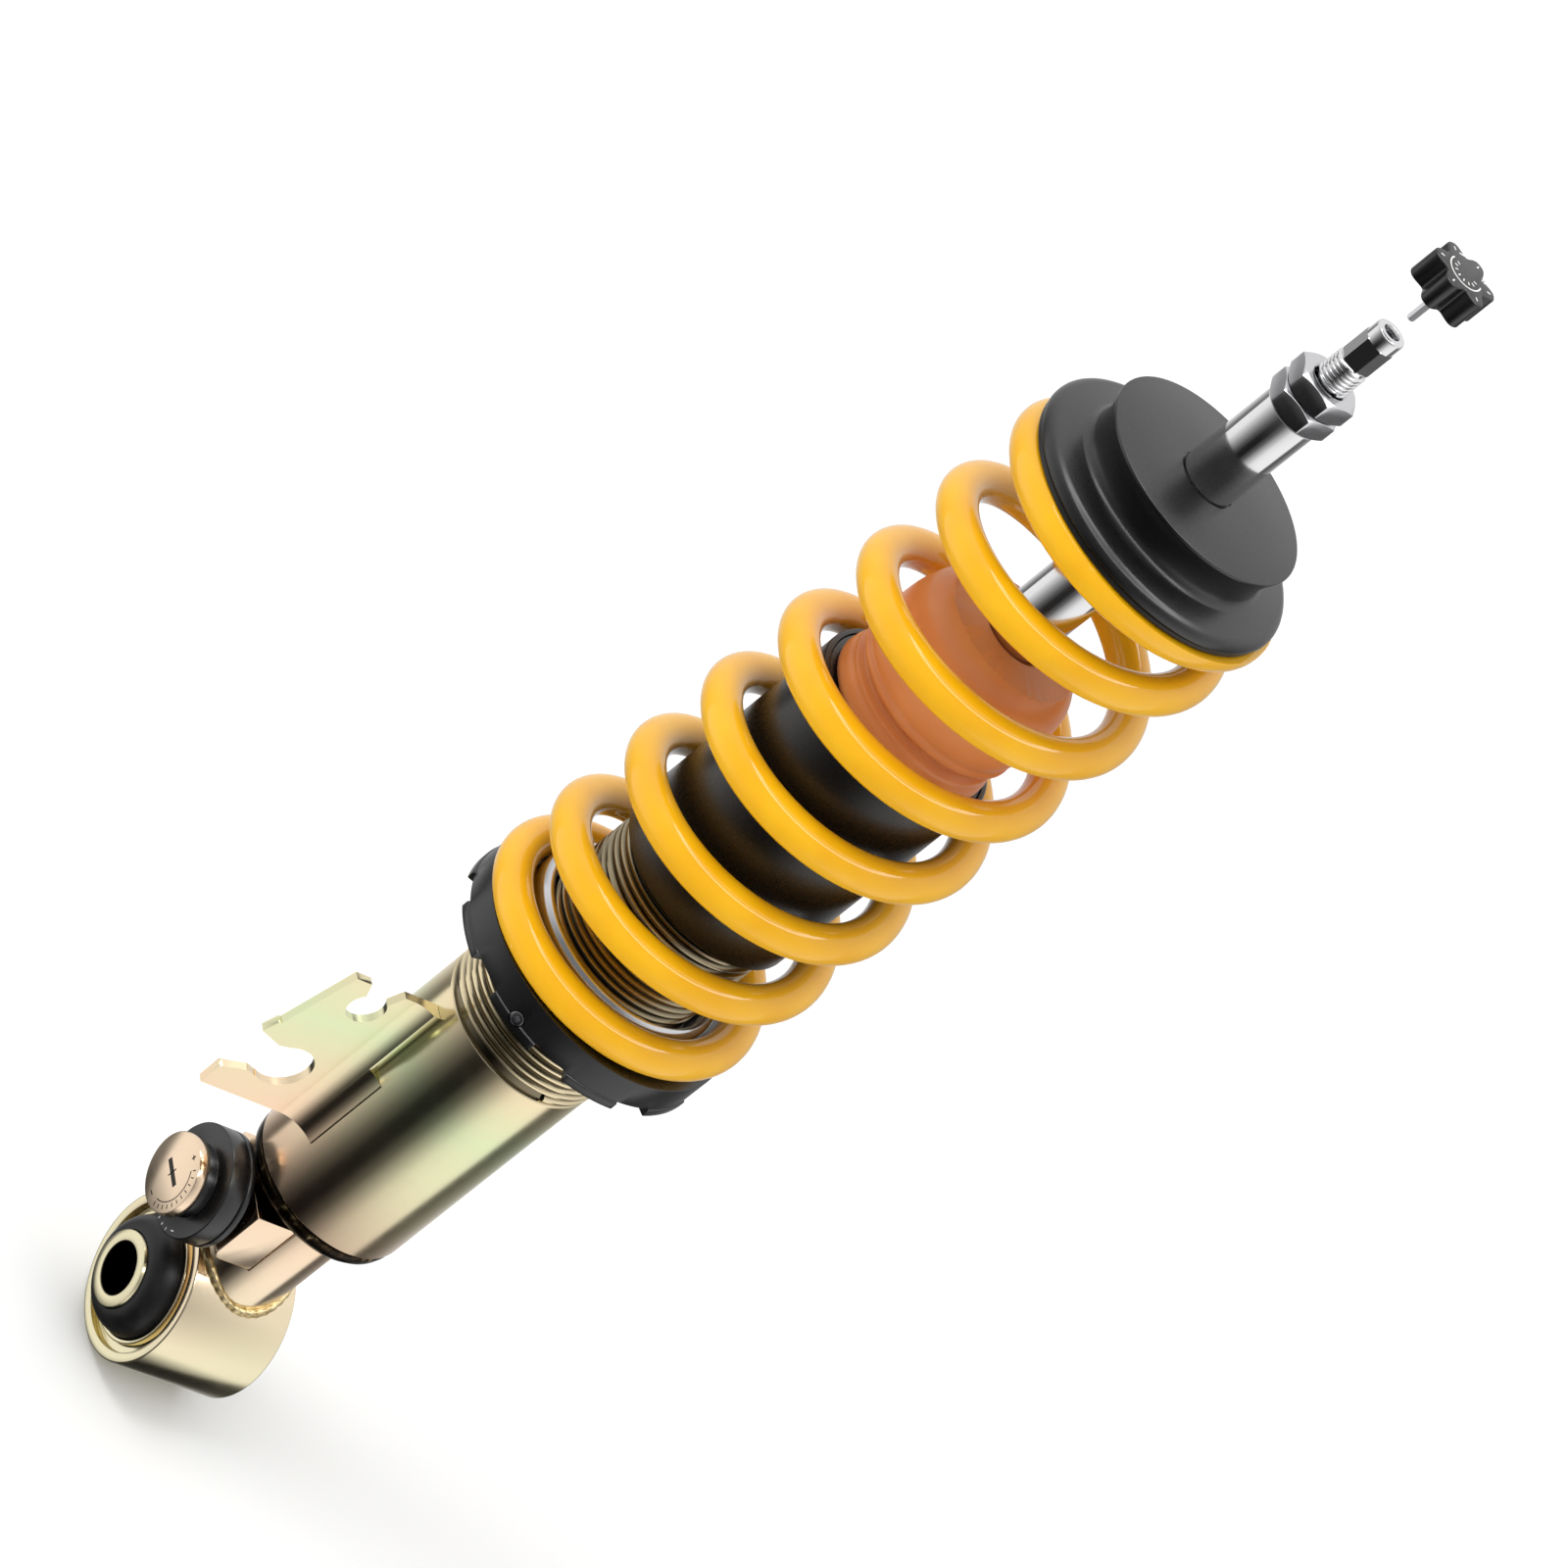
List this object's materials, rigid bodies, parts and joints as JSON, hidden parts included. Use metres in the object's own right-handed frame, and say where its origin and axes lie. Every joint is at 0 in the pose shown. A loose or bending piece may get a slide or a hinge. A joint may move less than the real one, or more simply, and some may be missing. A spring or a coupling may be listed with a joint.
{
  "type": "adjustable coilover",
  "caption": "Rear coilover: damper tube with a rubber-bushed lower eye, coaxial compression dials, threaded collar, coil spring, bump stop, upper seat and rod end with a rebound knob.",
  "frame": {"origin": "centre of the lower eye's bolt bore, where the bolt axis crosses the strut axis", "axes": "+Z along the strut towards the rod end, +Y along the lower eye's bolt axis away from the adjuster dials"},
  "size_m": [0.082, 0.1008, 0.5017],
  "materials": {
    "yellow_zinc": "yellow passivated zinc plate",
    "black_anodised": "black anodised",
    "steel": "machined",
    "chrome": "polished",
    "rubber": "matte",
    "orange_foam": "satin",
    "black_plastic": "satin",
    "band_plastic": "satin",
    "yellow_coat": "gloss powder coat"
  },
  "bodies": {
    "damper_body": {"eye_ring": "yellow_zinc", "bush_outer_sleeve": "yellow_zinc", "bush_rubber": "rubber", "valve_neck": "yellow_zinc", "tube_base": "yellow_zinc", "damper_tube": "yellow_zinc", "hose_bracket": "yellow_zinc", "adjuster_housing": "yellow_zinc", "inner_cylinder": "steel", "base_valve": "steel", "rod_guide": "steel", "rod_seal": "rubber", "closure_nut": "steel", "dust_sleeve": "black_plastic", "sleeve_cap": "black_plastic", "bump_stop": "orange_foam"},
    "bush_core": {"bush_inner_sleeve": "steel"},
    "rod_assembly": {"piston_rod": "chrome", "piston": "steel", "piston_band": "band_plastic", "shim_stack": "steel", "piston_nut": "steel", "rebound_stop": "rubber", "upper_spring_seat": "black_anodised", "spring_pad": "rubber", "spacer_sleeve": "chrome", "lower_nut": "chrome", "upper_nut": "chrome"},
    "spring_perch": {"main_spring": "yellow_coat", "centring_ring": "steel"},
    "collar": {"adjusting_collar": "black_anodised", "collar_grub_screw": "steel"},
    "high_dial": {"high_speed_dial": "black_anodised", "high_speed_sleeve": "steel"},
    "low_dial": {"low_speed_dial": "yellow_zinc", "low_speed_needle": "steel"},
    "rebound_rod": {"rebound_adjuster_rod": "steel"},
    "knob": {"rebound_knob": "black_anodised", "knob_pin": "steel"}
  },
  "joints": [
    {"name": "bush_twist", "type": "hinge", "parent": "damper_body", "child": "bush_core", "pos_m": [0, 0, 0], "axis": [0, 1, 0], "range_deg": [-10, 10], "stiffness_Nm_per_rad": 20},
    {"name": "damper_stroke", "type": "slide", "parent": "damper_body", "child": "rod_assembly", "axis": [0, 0, 1], "range_m": [-0.038, 0], "stiffness_N_per_m": 60000, "springref_m": 0.005, "deforming": ["main_spring"]},
    {"name": "perch_lift", "type": "slide", "parent": "damper_body", "child": "spring_perch", "axis": [0, 0, 1], "range_m": [-0.0125, 0]},
    {"name": "collar_turn", "type": "hinge", "parent": "spring_perch", "child": "collar", "pos_m": [0, 0, 0.165], "axis": [0, 0, 1], "range_deg": [-1801, 0]},
    {"name": "high_speed_adjust", "type": "hinge", "parent": "damper_body", "child": "high_dial", "pos_m": [0, -0.03, 0.041], "axis": [0, -1, 0], "range_deg": [-270, 0]},
    {"name": "low_speed_adjust", "type": "hinge", "parent": "damper_body", "child": "low_dial", "pos_m": [0, -0.038, 0.041], "axis": [0, -1, 0], "range_deg": [-270, 0]},
    {"name": "rebound_adjust", "type": "hinge", "parent": "rod_assembly", "child": "rebound_rod", "pos_m": [0, 0, 0.45], "axis": [0, 0, 1], "range_deg": [0, 330]},
    {"name": "knob_pull", "type": "slide", "parent": "rebound_rod", "child": "knob", "axis": [0, 0, 1], "range_m": [-0.012, 0]}
  ],
  "couplings": [
    {"joint": "collar_turn", "follows": "perch_lift", "rad_per_m": 2513.3}
  ]
}
